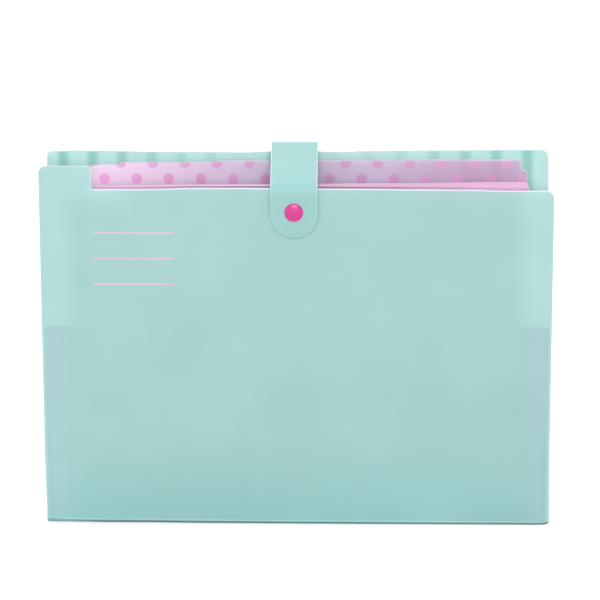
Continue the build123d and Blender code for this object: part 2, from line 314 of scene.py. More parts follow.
def fill_points(outline, spacing):
    """A grid of points inside an outline and clear of it."""
    loop = np.array([tuple(p) for p in outline])
    low, high = loop.min(0), loop.max(0)
    steps = [max(2, round((high[k] - low[k]) / spacing)) for k in (0, 1)]
    grid = np.array([(low[0] + (high[0] - low[0]) * i / steps[0], low[1] + (high[1] - low[1]) * j / steps[1])
                     for i in range(1, steps[0]) for j in range(1, steps[1])])
    following = np.roll(loop, -1, 0)
    inside = np.zeros(len(grid), bool)
    clear = np.full(len(grid), np.inf)
    for a, b in zip(loop, following):
        spans = (a[1] > grid[:, 1]) != (b[1] > grid[:, 1])
        rise = b[1] - a[1] if b[1] != a[1] else 1.0
        crosses = grid[:, 0] < (b[0] - a[0]) * (grid[:, 1] - a[1]) / rise + a[0]
        inside ^= spans & crosses
        along = b - a
        share = np.clip(((grid - a) @ along) / max(along @ along, WELD ** 2), 0, 1)
        clear = np.minimum(clear, np.linalg.norm(grid - a - share[:, None] * along, axis=1))
    # Points closer than about half a step would make slivers along the outline
    return [Vector(p) for p in grid[inside & (clear > spacing * 0.45)]]


def finish_mesh(bm, name, materials, sharp):
    """A new object from a bmesh, smooth apart from edges with more than sharp degrees between their faces."""
    bmesh.ops.remove_doubles(bm, verts=bm.verts, dist=WELD)
    bmesh.ops.dissolve_degenerate(bm, edges=bm.edges, dist=WELD)
    bmesh.ops.recalc_face_normals(bm, faces=bm.faces)
    mesh = bpy.data.meshes.new(name)
    bm.to_mesh(mesh)
    bm.free()
    mesh.shade_smooth()
    mesh.set_sharp_from_angle(angle=math.radians(sharp))
    for material in materials:
        mesh.materials.append(material)
    piece = bpy.data.objects.new(name, mesh)
    bpy.context.scene.collection.objects.link(piece)
    return piece


def make_sheet(name, outline, place, thickness, spacing, materials, runs_on=lambda p: False, rim=None):
    """A die-cut sheet. place(across, up, out) puts a flat point in space. materials are the face's, the cut
    edge's and the other face's. runs_on(point) says where the edge isn't cut but runs on into another sheet."""
    s = bpy.context.scene.folder_sizes
    rim = rim or s.rim_width
    # A thin sheet's rim is pressed in by less
    drop = min(s.rim_drop, thickness * 0.3)
    inner = inset_outline(outline, rim, runs_on)
    count = len(outline)
    flat = inner + fill_points(inner, spacing)
    edges = [(i, (i + 1) % count) for i in range(count)]
    # Triangles inside the outline only
    points, _, faces, _, _, _ = geometry.delaunay_2d_cdt(flat, edges, [], 1, 1e-9)
    bm = bmesh.new()
    borders = []
    for side, slot in ((1, 0), (-1, 2)):
        half = side * thickness / 2
        made = [bm.verts.new(place(p.x, p.y, half)) for p in points]
        for face in faces:
            bm.faces.new([made[i] for i in (face if side > 0 else face[::-1])]).material_index = slot
        ring = [bm.verts.new(place(p.x, p.y, half)) for p in inner]
        border = []
        for cut, kept in zip(outline, inner):
            lowered = half - side * drop * min(1.0, (cut - kept).length / rim)
            border.append(bm.verts.new(place(cut.x, cut.y, lowered)))
        for i in range(count):
            j = (i + 1) % count
            bm.faces.new((ring[i], border[i], border[j], ring[j])).material_index = 1
        borders.append(border)
    for i in range(count):
        j = (i + 1) % count
        bm.faces.new((borders[0][i], borders[1][i], borders[1][j], borders[0][j])).material_index = 1
    return finish_mesh(bm, name, materials, 35)


def folded_path(corners, radii, step):
    """Points along a line of runs and arcs in the YZ plane, close together, as an array."""
    points = [Vector(corners[0])]
    for a, b, c, radius in zip(corners, corners[1:], corners[2:], radii):
        points += corner_arc(a, b, c, radius, 6, step)
    points.append(Vector(corners[-1]))
    dense = [points[0]]
    for a, b in zip(points, points[1:]):
        steps = max(1, math.ceil((b - a).length / step))
        dense += [a + (b - a) * (k / steps) for k in range(1, steps + 1)]
    return np.array([tuple(p) for p in dense])


def path_place(path, lift=lambda across, along: 0.0):
    """A function that lays a flat sheet along a path, and the path's length. out is to the path's right, and
    lift(across, along) is how far the sheet strays up."""
    runs = np.linalg.norm(np.diff(path, axis=0), axis=1)
    along = np.concatenate([[0], np.cumsum(runs)])
    slopes = np.gradient(path, along, axis=0)

    def place(across, distance, out):
        y, z = (np.interp(distance, along, path[:, k]) for k in (0, 1))
        ty, tz = (np.interp(distance, along, slopes[:, k]) for k in (0, 1))
        size = math.hypot(ty, tz)
        return Vector((across, y + out * tz / size, z - out * ty / size + lift(across, distance)))

    return place, along[-1]


def make_lathe(name, profile, base, lean, material, segments=56):
    """A turned piece whose axis points to the front, square to a leaf that leans forward by lean. profile holds
    (radius, distance along the axis) pairs."""
    axis = Vector((0, -math.cos(lean), -math.sin(lean)))
    side, up = Vector((1, 0, 0)), Vector((0, -math.sin(lean), math.cos(lean)))
    bm = bmesh.new()
    rings = []
    for radius, along in profile:
        centre = base + axis * along
        if radius < WELD:
            rings.append([bm.verts.new(centre)])
            continue
        rings.append([bm.verts.new(centre + radius * (math.cos(a) * side + math.sin(a) * up))
                      for a in (2 * math.pi * k / segments for k in range(segments))])
    for lower, upper in zip(rings, rings[1:]):
        for k in range(segments):
            m = (k + 1) % segments
            ends = [lower[k % len(lower)], lower[m % len(lower)], upper[m % len(upper)], upper[k % len(upper)]]
            corners = list(dict.fromkeys(ends))
            if len(corners) > 2:
                bm.faces.new(corners)
    return finish_mesh(bm, name, [material], 40)


def corner_curve(a, b, c, radius, share, steps):
    """Points round the corner b, softened by at most radius and by at most a share of the runs beside it."""
    corner = Vector(b)
    before, after = Vector(a) - corner, Vector(c) - corner
    reach = min(radius, before.length * share, after.length * share)
    first, last = corner + before.normalized() * reach, corner + after.normalized() * reach
    return [first * (1 - t) ** 2 + corner * (2 * t * (1 - t)) + last * t ** 2
            for t in (k / steps for k in range(steps + 1))]


def round_profile(corners, radius):
    """A turned profile with its inner corners rounded by at most radius."""
    points = [Vector(corners[0])]
    for a, b, c in zip(corners, corners[1:], corners[2:]):
        points += corner_curve(a, b, c, radius, 0.45, 4)
    return [tuple(p) for p in points + [Vector(corners[-1])]]


def add(tree, kind, inputs=None, give=0, **settings):
    """Adds a node with its settings and links or sets the inputs that are given. It returns one of the node's
    outputs, or all of them where give is None."""
    made = tree.nodes.new("ShaderNode" + kind)
    for name, value in settings.items():
        setattr(made, name, value)
    for socket, value in (inputs or {}).items():
        if isinstance(value, bpy.types.NodeSocket):
            tree.links.new(value, made.inputs[socket])
        else:
            made.inputs[socket].default_value = value
    return made.outputs if give is None else made.outputs[give]


def new_material(name):
    """An empty node material, its tree and the place on the piece that its patterns are drawn by."""
    material = bpy.data.materials.new(name)
    material.use_nodes = True
    material.node_tree.nodes.clear()
    return material, material.node_tree, add(material.node_tree, "TexCoord", give="Object")


def plastic_surface(material, place, tone, cloud, shades, grain, roughs, bump=None, ior=1.49, solid=1.0):
    """What all the plastics share: a slow cloudiness of the tone and a fine unevenness of the gloss. cloud and grain
    are each a pattern's size and detail, shades and roughs what they vary between, and bump is the grain's strength
    and depth."""
    tree = material.node_tree
    clouds, grains = [add(tree, "TexNoise", {"Vector": place, "Scale": 1 / size, "Detail": detail})
                      for size, detail in (cloud, grain)]
    shade, rough = [add(tree, "MapRange", {0: pattern, 1: NOISE_LOW, 2: NOISE_HIGH, 3: low, 4: high})
                    for pattern, (low, high) in ((clouds, shades), (grains, roughs))]
    tinted = add(tree, "Mix", {0: 1.0, 6: tone, 7: shade}, blend_type="MULTIPLY", **COLOUR_MIX)
    inputs = {"Base Color": tinted, "Roughness": rough, "IOR": ior, "Alpha": solid}
    if bump:
        strength, depth = bump
        inputs["Normal"] = add(tree, "Bump", {"Height": grains, "Strength": strength, "Distance": depth})
    add(tree, "OutputMaterial", {0: add(tree, "BsdfPrincipled", inputs)}, give=None)
    return material


def matt_sheet(name, tone, patterns=(), roughness=0.42):
    """Extruded polypropylene sheet, embossed matt on its rollers. It gives the eye an even, soft sheen with a fine
    sand grain and a slow cloudiness. It is opaque: what would show through it from behind is painted on by its
    patterns as a change of tone, painted light and shade."""
    material, tree, place = new_material(name)
    axes = add(tree, "SeparateXYZ", {0: place}, give=None)
    for pattern in patterns:
        tone = pattern(tree, axes, tone)
    # The melt is cloudy over about 60 mm. The emboss is about 0.3 mm in life, and is drawn at 0.8 mm so that it shows
    return plastic_surface(material, place, tone, cloud=(60 * MM, 2.0), shades=(0.965, 1.035), grain=(0.8 * MM, 1.0),
                           roughs=(roughness - 0.05, roughness + 0.07), bump=(0.12, 0.05 * MM))


def front_zones(tree, axes, tone):
    """Painted light and shade for what would show through the front panel: a painted backlight at its clear sides,
    the dividers' tone, the inner pocket below, and the pleats' pink painted beside the dividers there."""
    s, c = bpy.context.scene.folder_sizes, bpy.context.scene.folder_colours
    half, top = s.panel_width / 2, front_edge(s)
    edge = half - s.divider_inset
    # The dividers' tone, which leaves out the ear with its painted backlight and softens towards the panel's sides
    side = add(tree, "Math", {0: axes[0]}, operation="ABSOLUTE")
    beside = add(tree, "MapRange", {0: side, 1: edge + 4 * MM, 2: edge - 13 * MM}, **SMOOTH)
    ear = add(tree, "MapRange", {0: axes[2], 1: top + 4 * MM, 2: top - 18 * MM}, **SMOOTH)
    left = add(tree, "MapRange", {0: axes[0], 1: s.ear_width * 1.2 - half, 2: s.ear_width * 1.8 - half})
    low = add(tree, "Math", {0: ear, 1: left}, operation="MAXIMUM")
    behind = add(tree, "Math", {0: beside, 1: low}, operation="MULTIPLY")
    painted_see_through = add(tree, "Mix", {0: behind, 6: c.mint_painted_backlight, 7: tone}, **COLOUR_MIX)
    # The inner pocket, by the distance from its edge with the two round corners, with painted shade deepening towards
    # the spine
    lining, corner = leaf_point(s, FRONT, 0, s.lining_height).z, s.divider_corner
    past_side = add(tree, "Math", {0: side, 1: half - s.lining_inset - corner}, operation="SUBTRACT")
    past_top = add(tree, "Math", {0: axes[2], 1: lining - corner}, operation="SUBTRACT")
    both = add(tree, "CombineXYZ", {0: past_side, 1: past_top})
    outside = add(tree, "VectorMath", {0: both, 1: (0, 0, 0)}, operation="MAXIMUM")
    away = add(tree, "VectorMath", {0: outside}, give="Value", operation="LENGTH")
    deepest = add(tree, "Math", {0: past_side, 1: past_top}, operation="MAXIMUM")
    within = add(tree, "Math", {0: deepest, 1: 0.0}, operation="MINIMUM")
    from_edge = add(tree, "Math", {0: away, 1: within}, operation="ADD")
    lined = add(tree, "MapRange", {0: from_edge, 1: corner + 0.5 * MM, 2: corner - 0.5 * MM})
    # Painted shade, deeper towards the spine
    depth = add(tree, "MapRange", {0: axes[2], 1: 75 * MM, 2: 5 * MM}, **SMOOTH)
    deep = add(tree, "Mix", {0: depth, 6: c.mint_lined, 7: c.mint_painted_low_shade}, **COLOUR_MIX)
    lower = add(tree, "Mix", {0: lined, 6: painted_see_through, 7: deep}, **COLOUR_MIX)
    # The pleats' band, their pink painted on as if seen through the sheet, beside the dividers and fainter towards
    # the floor
    rise = add(tree, "MapRange", {0: side, 1: edge - 3 * MM, 2: edge + 4 * MM}, **SMOOTH)
    fall = add(tree, "MapRange", {0: side, 1: edge + 13 * MM, 2: edge + 9 * MM}, **SMOOTH)
    band = add(tree, "MapRange", {0: axes[2], 1: 20 * MM, 2: lining, 3: 0.35, 4: 0.8})
    for share in (rise, fall, lined):
        band = add(tree, "Math", {0: band, 1: share}, operation="MULTIPLY")
    return add(tree, "Mix", {0: band, 6: lower, 7: c.mint_painted_pleat_tint}, **COLOUR_MIX)


def spine_zones(tree, axes, tone):
    """The spine's bends: a painted highlight at the front and painted shade where they turn under, less so at the
    lifted left end.
    """
    facing = add(tree, "TexCoord", give="Normal")
    height = add(tree, "SeparateXYZ", {0: facing}, give=2)
    # Painted shade on the faces that turn under, with less at the lifted left end, which has no contact shadow
    under = add(tree, "MapRange", {0: height, 1: -0.25, 2: -0.45})
    lain = add(tree, "MapRange", {0: axes[0], 1: -152 * MM, 2: -128 * MM, 3: 0.35, 4: 1.0})
    painted_fold_shade = add(tree, "Math", {0: under, 1: lain}, operation="MULTIPLY")
    return add(tree, "Mix", {0: painted_fold_shade, 6: bpy.context.scene.folder_colours.mint_bend, 7: tone}, **COLOUR_MIX)


def back_stripes(tree, axes, tone):
    """Soft tone-on-tone stripes, 20.4 mm apart but a little closer at the left and wider apart at the right, stronger
    towards the sides."""
    closer = add(tree, "MapRange", {0: axes[0], 1: -155 * MM, 2: -40 * MM, 3: 1.2 * MM, 4: 7 * MM})
    wider = add(tree, "MapRange", {0: axes[0], 1: 20 * MM, 2: 95 * MM, 3: 0.0, 4: 4.5 * MM})
    shift = add(tree, "Math", {0: closer, 1: wider}, operation="SUBTRACT")
    warped = add(tree, "Math", {0: axes[0], 1: shift}, operation="ADD")
    turns = add(tree, "Math", {0: warped, 1: 20.4 * MM}, operation="DIVIDE")
    phase = add(tree, "Math", {0: turns}, operation="FRACT")
    middle = add(tree, "Math", {0: phase, 1: 0.5}, operation="SUBTRACT")
    away = add(tree, "Math", {0: middle}, operation="ABSOLUTE")
    band = add(tree, "MapRange", {0: away, 1: 0.3, 2: 0.04}, **SMOOTH)
    side = add(tree, "Math", {0: axes[0]}, operation="ABSOLUTE")
    share = add(tree, "MapRange", {0: side, 1: 40 * MM, 2: 140 * MM, 3: 0.2, 4: 1.0})
    strength = add(tree, "Math", {0: band, 1: share}, operation="MULTIPLY")
    return add(tree, "Mix", {0: strength, 6: tone, 7: bpy.context.scene.folder_colours.mint_stripe}, **COLOUR_MIX)


def writing_rules(tree, axes, tone):
    """Three printed writing lines on the front's upper left, 52 mm long, 1.3 mm thick and 17 mm apart."""
    s, c = bpy.context.scene.folder_sizes, bpy.context.scene.folder_colours
    left, right = 34 * MM - s.panel_width / 2, 86 * MM - s.panel_width / 2
    foot, pitch, rows, blur = 163 * MM, 17 * MM, 3, 0.2 * MM
    across = add(tree, "Math", {0: axes[0], 1: (left + right) / 2}, operation="SUBTRACT")
    away = add(tree, "Math", {0: across}, operation="ABSOLUTE")
    held = add(tree, "MapRange", {0: away, 1: (right - left) / 2 + blur, 2: (right - left) / 2 - blur})
    up = add(tree, "Math", {0: axes[2], 1: foot}, operation="SUBTRACT")
    turns = add(tree, "Math", {0: up, 1: pitch}, operation="DIVIDE")
    phase = add(tree, "Math", {0: turns}, operation="FRACT")
    ink = add(tree, "MapRange", {0: phase, 1: 0.085, 2: 0.065})
    above = add(tree, "Math", {0: turns, 1: 0.0}, operation="GREATER_THAN")
    below = add(tree, "Math", {0: turns, 1: float(rows)}, operation="LESS_THAN")
    for share in (held, above, below):
        ink = add(tree, "Math", {0: ink, 1: share}, operation="MULTIPLY")
    return add(tree, "Mix", {0: ink, 6: tone, 7: c.rule}, **COLOUR_MIX)


def cut_edge(name, tone, solid=1.0, soft=None, fade=(-5 * MM, 0.0)):
    """Polypropylene whitened where the die has cut and crushed it: a pale line with a soft shine, brightened in parts
    by a painted highlight. Where a soft tone is given, the painted highlight keeps to the right of the ear, and it
    comes in over the heights in fade, which are measured from the front's cut-down top edge; elsewhere the line takes
    the soft tone."""
    material, tree, place = new_material(name)
    if soft:
        s = bpy.context.scene.folder_sizes
        ear, top = s.ear_width - s.panel_width / 2, front_edge(s)
        axes = add(tree, "SeparateXYZ", {0: place}, give=None)
        # Painted highlight: the brighter tone only right of the ear and over the heights in fade
        right = add(tree, "MapRange", {0: axes[0], 1: ear - 2 * MM, 2: ear + 2 * MM})
        high = add(tree, "MapRange", {0: axes[2], 1: top + fade[0], 2: top + fade[1]})
        sharp = add(tree, "Math", {0: right, 1: high}, operation="MULTIPLY")
        tone = add(tree, "Mix", {0: sharp, 6: soft, 7: tone}, **COLOUR_MIX)
    # The knife's drag marks come about every 4 mm
    drag = (4 * MM, 2.0)
    return plastic_surface(material, place, tone, cloud=drag, shades=(0.94, 1.0), grain=drag, roughs=(0.28, 0.42),
                           solid=solid)


def clear_pink(name, tone, seen_through, dots=None, ends=None):
    """Thin pink polypropylene sheet, rolled matt. It is half clear, so what stands behind it shows as a paler,
    cooler pink, and it has a soft sheen."""
    c = bpy.context.scene.folder_colours
    material, tree, place = new_material(name)
    axes = add(tree, "SeparateXYZ", {0: place}, give=None)
    solid = 1 - seen_through
    if ends:
        # Painted shade: deeper in the middle under the strap, lighter towards the sides
        side = add(tree, "Math", {0: axes[0]}, operation="ABSOLUTE")
        out = add(tree, "MapRange", {0: side, 1: 30 * MM, 2: 115 * MM})
        tone = add(tree, "Mix", {0: out, 6: tone, 7: ends}, **COLOUR_MIX)
    if dots:
        # Painted light and shade across the sheet: paler and more solid towards the left, deeper towards the right
        pale = add(tree, "MapRange", {0: axes[0], 1: -15 * MM, 2: -115 * MM}, **SMOOTH)
        deep = add(tree, "MapRange", {0: axes[0], 1: 50 * MM, 2: 115 * MM})
        right = add(tree, "Mix", {0: deep, 6: tone, 7: c.pink_painted_shade_right}, **COLOUR_MIX)
        faded = add(tree, "Mix", {0: pale, 6: right, 7: c.pink_painted_light_left}, **COLOUR_MIX)
        thick = add(tree, "Mix", {0: pale, 2: solid, 3: 0.9}, data_type="FLOAT")
        printed = dots(tree, axes)
        tone = add(tree, "Mix", {0: printed, 6: faded, 7: c.dot}, **COLOUR_MIX)
        inked = add(tree, "Math", {0: thick, 1: 0.1}, operation="ADD")
        solid = add(tree, "Mix", {0: printed, 2: thick, 3: inked}, data_type="FLOAT")
    # The sheet is cloudy over about 45 mm. Its grain is too fine to show in life, and is drawn at 0.8 mm
    return plastic_surface(material, place, tone, cloud=(45 * MM, 2.0), shades=(0.96, 1.03), grain=(0.8 * MM, 1.0),
                           roughs=(0.34, 0.46), bump=(0.1, 0.04 * MM), solid=solid)


def staggered_dots(tree, axes):
    """Round printed dots, 7 mm across and 21 mm apart, each row set half a step over."""
    pitch, row, radius, blur = 21 * MM, 10.5 * MM, 3.5 * MM, 0.5 * MM
    rows = add(tree, "Math", {0: axes[2], 1: row}, operation="DIVIDE")
    number = add(tree, "Math", {0: rows}, operation="FLOOR")
    odd = add(tree, "Math", {0: number, 1: 0.5}, operation="MULTIPLY")
    steps = add(tree, "Math", {0: axes[0], 1: pitch}, operation="DIVIDE")
    shifted = add(tree, "Math", {0: steps, 1: odd}, operation="ADD")
    across, up = [add(tree, "Math", {0: count}, operation="FRACT") for count in (shifted, rows)]
    cell = add(tree, "CombineXYZ", {0: across, 1: up})
    centred = add(tree, "VectorMath", {0: cell, 1: (0.5, 0.5, 0)}, operation="SUBTRACT")
    sized = add(tree, "VectorMath", {0: centred, 1: (pitch, row, 0)}, operation="MULTIPLY")
    away = add(tree, "VectorMath", {0: sized}, give="Value", operation="LENGTH")
    return add(tree, "MapRange", {0: away, 1: radius + blur, 2: radius - blur})


def moulded_gloss(name, tone):
    """Injection-moulded acetal, polished in its mould: deep even colour with a clean, slightly soft highlight."""
    material, _, place = new_material(name)
    # The melt's flow leaves an unevenness about 3 mm across
    flow = (3 * MM, 2.0)
    return plastic_surface(material, place, tone, cloud=flow, shades=(0.95, 1.04), grain=flow, roughs=(0.2, 0.3),
                           bump=(0.05, 0.05 * MM), ior=1.48)


def eye_rays(tree):
    """1 for the rays that the eye sees by, straight, in gloss or through something clear, and 0 for light."""
    rays = add(tree, "LightPath", give=None)
    seen = rays["Is Camera Ray"]
    for other in ("Is Glossy Ray", "Is Transmission Ray"):
        seen = add(tree, "Math", {0: seen, 1: rays[other]}, operation="MAXIMUM")
    return seen


def paper_sweep(name, tone):
    """Matt white paper, overexposed to plain white away from the folder, that keeps the shadow near it."""
    material, tree, place = new_material(name)
    away = add(tree, "VectorMath", {0: place}, give="Value", operation="LENGTH")
    far = add(tree, "MapRange", {0: away, 1: 0.3, 2: 1.2, 3: 0.72, 4: 1.0}, **SMOOTH)
    share = add(tree, "Math", {0: eye_rays(tree), 1: far}, operation="MULTIPLY")
    # The paper's tooth is finer in life, and is drawn at 2 mm so that it shows
    tooth = add(tree, "TexNoise", {"Vector": place, "Scale": 1 / (2 * MM)})
    bump = add(tree, "Bump", {"Height": tooth, "Strength": 0.05, "Distance": 0.05 * MM})
    paper = add(tree, "BsdfDiffuse", {"Color": tone, "Normal": bump})
    white = add(tree, "Emission", {"Color": (1, 1, 1, 1), "Strength": share})
    add(tree, "OutputMaterial", {0: add(tree, "AddShader", {0: paper, 1: white})}, give=None)
    return material


def stock(name):
    """The material of that name, made when a piece first asks for it."""
    c = bpy.context.scene.folder_colours
    # The function that makes each finish, and what that is given after the name
    make, *details = {
        # The front's finish carries painted light and shade of what would show through it
        "embossed_mint_polypropylene_front": (matt_sheet, c.mint, (front_zones, writing_rules)),
        "embossed_mint_polypropylene_inside": (matt_sheet, c.mint),
        # The back panel's tone carries a painted backlight
        "embossed_mint_polypropylene_striped": (matt_sheet, c.mint_back_painted_backlight, (back_stripes,)),
        # The spine's tone carries painted shade and a painted highlight
        "embossed_mint_polypropylene_spine": (matt_sheet, c.mint_fold_painted_shade, (spine_zones,)),
        "embossed_mint_polypropylene_strap": (matt_sheet, c.mint_strap, (), 0.55),
        # The front's, the strap's and the low dividers' cut edges carry a painted highlight besides their whitening
        "die_cut_mint_polypropylene": (cut_edge, c.mint_edge_whitening_and_highlight, 1.0, c.mint_side_edge),
        "die_cut_mint_polypropylene_soft": (cut_edge, c.mint_soft_edge),
        "die_cut_mint_polypropylene_strap": (cut_edge, c.mint_edge_whitening_and_highlight, 1.0, c.mint_soft_edge, (2 * MM, 4.5 * MM)),
        "die_cut_pink_polypropylene": (cut_edge, c.pink_edge_whitening_and_highlight),
        "die_cut_frosted_polypropylene": (cut_edge, c.frost, 0.4),
        # The low dividers' tone carries painted shade under the strap
        "rolled_pink_polypropylene": (clear_pink, c.pink_low_painted_shade, 0.2, None, c.pink_ends),
        # The tallest divider's tone carries painted light and shade across it
        "rolled_pink_polypropylene_dotted": (clear_pink, c.pink, 0.5, staggered_dots),
        "folded_pink_polypropylene_film": (clear_pink, c.pink_film, 0.3),
        "moulded_pink_acetal": (moulded_gloss, c.snap),
        "matt_white_paper": (paper_sweep, c.floor),
    }[name]
    return bpy.data.materials.get(name) or make(name, *details)


def bow(knots, across):
    """How far a soft sheet's edge strays up from its straight line, from a few heights across it in mm."""
    return float(np.interp(across / MM, *zip(*knots))) * MM


def corner_lift(s, across, depth):
    """How far the front crease strays up off the floor, most at its ends."""
    reach, rise = 5 * MM, 1.1 * MM
    right = max(0.0, (across - s.panel_width / 2 + reach) / reach) ** 2 * rise
    return (bow(FOOT_BOW, across) + right) * depth


def hollow(across, up, depth, size, seed):
    """How far a panel that isn't quite flat stands off its plane, nothing at its crease."""
    return depth * wave(across, up, size, seed) * ease(up, 4 * MM, 60 * MM)


class FOLDER_OT_front_panel(bpy.types.Operator):
    """Make the front panel with its tall ear, and the half-height pocket inside it"""

    bl_idname = "folder.front_panel"
    bl_label = "Front Panel"

    def execute(self, context):
        s = context.scene.folder_sizes
        half, edge, top = s.panel_width / 2, front_edge(s), s.panel_height
        ear = s.ear_width - half
        corners = [(-half, 0), (half, 0), (half, edge), (ear, edge), (ear, top), (-half, top)]
        radii = [0, 0, s.corner_radius, s.notch_corner, s.ear_corner, s.corner_radius]
        drift_fade, lift_fade, bow_fade = 45 * MM, 30 * MM, 80 * MM

        def place(across, up, out):
            point = leaf_point(s, FRONT, across, up, out + hollow(across, up, 0.35 * MM, 90 * MM, 3.0))
            point.x += s.foot_drift * (1 - ease(up, 0, drift_fade))
            point.z += corner_lift(s, across, 1 - ease(up, 0, lift_fade))
            point.z += bow(FRONT_BOW, across) * ease(up, edge - bow_fade, edge)
            return point

        inside, rim = stock("embossed_mint_polypropylene_inside"), stock("die_cut_mint_polypropylene")
        panel = make_sheet("front_panel_sheet", rounded_outline(corners, radii), place, s.cover_sheet, PANEL_GRID,
                           [stock("embossed_mint_polypropylene_front"), rim, inside], lambda p: p.y < TOUCH)
        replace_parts(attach(panel, "front_cover"), "front_panel")

        wide, low, high = half - s.lining_inset, s.lining_lift, s.lining_height
        corners = [(-wide, low), (wide, low), (wide, high), (-wide, high)]
        outline = rounded_outline(corners, [0, 0, s.divider_corner, s.divider_corner])
        behind = -s.cover_sheet / 2 - s.lining_sheet / 2
        lining = make_sheet("inner_pocket_sheet", outline, lambda a, u, o: place(a, u, o + behind), s.lining_sheet,
                            PANEL_GRID, [inside, rim, inside])
        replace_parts(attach(lining, "front_cover"), "front_inner_pocket")
        return {"FINISHED"}


class FOLDER_OT_back_cover(bpy.types.Operator):
    """Make the striped back panel and the rounded spine that it runs into"""

    bl_idname = "folder.back_cover"
    bl_label = "Back Panel and Spine"

    def execute(self, context):
        s = context.scene.folder_sizes
        half, top = s.panel_width / 2, s.panel_height
        neck, root = s.strap_width / 2, s.strap_offset - s.strap_drift
        corners = [(-half, 0), (half, 0), (half, top), (root + neck, top), (root - neck, top), (-half, top)]
        outline = rounded_outline(corners, [0, 0, s.corner_radius, 0, 0, s.left_corner])
        left_curl, right_curl, right_tuck = 2.5 * MM, 4.5 * MM, 0.45 * MM

        def place(across, up, out):
            beside = abs(across - root)
            dent = hollow(across, up, 0.4 * MM, 100 * MM, 11.0) * ease(beside, neck, neck + 30 * MM)
            # Flat where the last pleats are welded on, and curled back at the free corners
            dent *= 1 - ease(abs(across), half - 40 * MM, half - 20 * MM)
            curl = (right_curl if across > 0 else left_curl) * ease(abs(across), neck + 10 * MM, half)
            point = leaf_point(s, BACK, across, up, out + dent - curl * ease(up, s.pleat_top, top + 5 * MM))
            high = ease(up, s.pleat_top - 60 * MM, top)
            point.x -= right_tuck * ease(across, half - 60 * MM, half) * high
            point.z += bow(BACK_BOW, across) * ease(beside, neck, neck + 15 * MM) * high
            return point

        striped, rim = stock("embossed_mint_polypropylene_striped"), stock("die_cut_mint_polypropylene_soft")
        panel = make_sheet("back_panel_sheet", outline, place, s.cover_sheet, PANEL_GRID, [striped, rim, striped],
                           lambda p: p.y < TOUCH or (p.y > top - TOUCH and abs(p.x - root) < neck))
        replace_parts(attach(panel, "back_cover"), "back_panel")

        rise, middle, deep = s.crease_height, s.cover_sheet / 2, s.spine_depth / 2
        corner = deep - (rise - middle) * math.tan(s.fan_lean)
        path = folded_path([(-deep, rise), (-corner, middle), (corner, middle), (deep, rise)],
                           [s.fold_radius, s.fold_radius], 0.4 * MM)
        lay, run = path_place(path, lambda across, along: corner_lift(s, across, 1 - ease(along, 2 * MM, 8 * MM)))
        corners = [(s.foot_drift - half, 0), (s.foot_drift + half, 0), (half, run), (-half, run)]
        spine = make_sheet("spine_fold", rounded_outline(corners, [0, 0, 0, 0], 1.2 * MM), lay, s.cover_sheet,
                           1.3 * MM, [stock("embossed_mint_polypropylene_spine"), rim,
                                      stock("embossed_mint_polypropylene_inside")],
                           lambda p: p.y < TOUCH or p.y > run - TOUCH)
        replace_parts(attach(spine, "back_cover"), "spine")
        return {"FINISHED"}


class FOLDER_OT_dividers(bpy.types.Operator):
    """Make the four pink dividers, the tallest with its index tab and printed dots"""

    bl_idname = "folder.dividers"
    bl_label = "Dividers"

    def execute(self, context):
        s = context.scene.folder_sizes
        half, foot, edge = s.panel_width / 2 - s.divider_inset, s.divider_lift, front_edge(s)
        corner, tallest = s.divider_corner, POCKETS - 1
        plain, printed = stock("rolled_pink_polypropylene"), stock("rolled_pink_polypropylene_dotted")
        rim, frosted = stock("die_cut_pink_polypropylene"), stock("die_cut_frosted_polypropylene")
        shapes = []
        for step in range(POCKETS - 2):
            left, right = [edge - s.low_divider_drop - step * fall for fall in (s.low_left_step, s.low_right_step)]
            shapes.append(([(-half, foot), (half, foot), (half, right), (-half, left)], [0, 0, corner, corner]))
        tab_left, tab_right = s.left_shoulder_width - half, half - s.right_shoulder_width
        left, right = edge + s.left_shoulder_rise, edge + s.right_shoulder_rise
        small, step = min(corner, s.right_shoulder_width / 2), (s.tab_left_rise - s.left_shoulder_rise) / 2
        shapes.append(([(-half, foot), (half, foot), (half, right), (tab_right, right),
                        (tab_right, edge + s.tab_right_rise), (tab_left, edge + s.tab_left_rise), (tab_left, left),
                        (-half, left)], [0, 0, small, small, corner, step, step, corner]))
        for leaf, (corners, radii) in enumerate(shapes, start=1):
            knots, face, edging, pressed = ((TAB_BOW, printed, frosted, 0.75 * MM) if leaf == tallest else
                                            (LOW_BOW, plain, rim, 0.6 * MM))

            def place(across, up, out, leaf=leaf, knots=knots):
                free = ease(up, 20 * MM, edge) * (1 - ease(abs(across), half - 40 * MM, half - 8 * MM))
                sway = 0.9 * MM * free * wave(across, up, 70 * MM, 20.0 + leaf)
                point = leaf_point(s, leaf, across, up, out + sway)
                point.z += bow(knots, across) * ease(up, edge - 60 * MM, edge)
                return point

            divider = make_sheet(f"divider_sheet_{leaf}", rounded_outline(corners, radii), place, s.divider_sheet,
                                 9 * MM, [face, edging, face], rim=pressed)
            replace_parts(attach(divider, LEAF_BODIES[leaf]), f"divider_{leaf}")
        return {"FINISHED"}


def pocket_walls(s, pocket, height):
    """Y of the two walls that a pocket's film lies against, at a height above the floor."""
    walls = []
    for leaf, side in ((pocket - 1, 1), (pocket, -1)):
        lean = leaf_lean(s, leaf)
        thick = s.divider_sheet / 2
        if leaf == FRONT:
            thick = s.cover_sheet / 2 + s.lining_sheet
        if leaf == BACK:
            thick = s.cover_sheet / 2
        middle = leaf_foot(s, leaf) - (height - s.crease_height) * math.tan(lean)
        walls.append(middle + side * (thick / math.cos(lean) + s.film_clearance))
    return walls


def blend_pocket(piece):
    """Bakes a pleat's placing into its mesh."""
    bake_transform(piece)


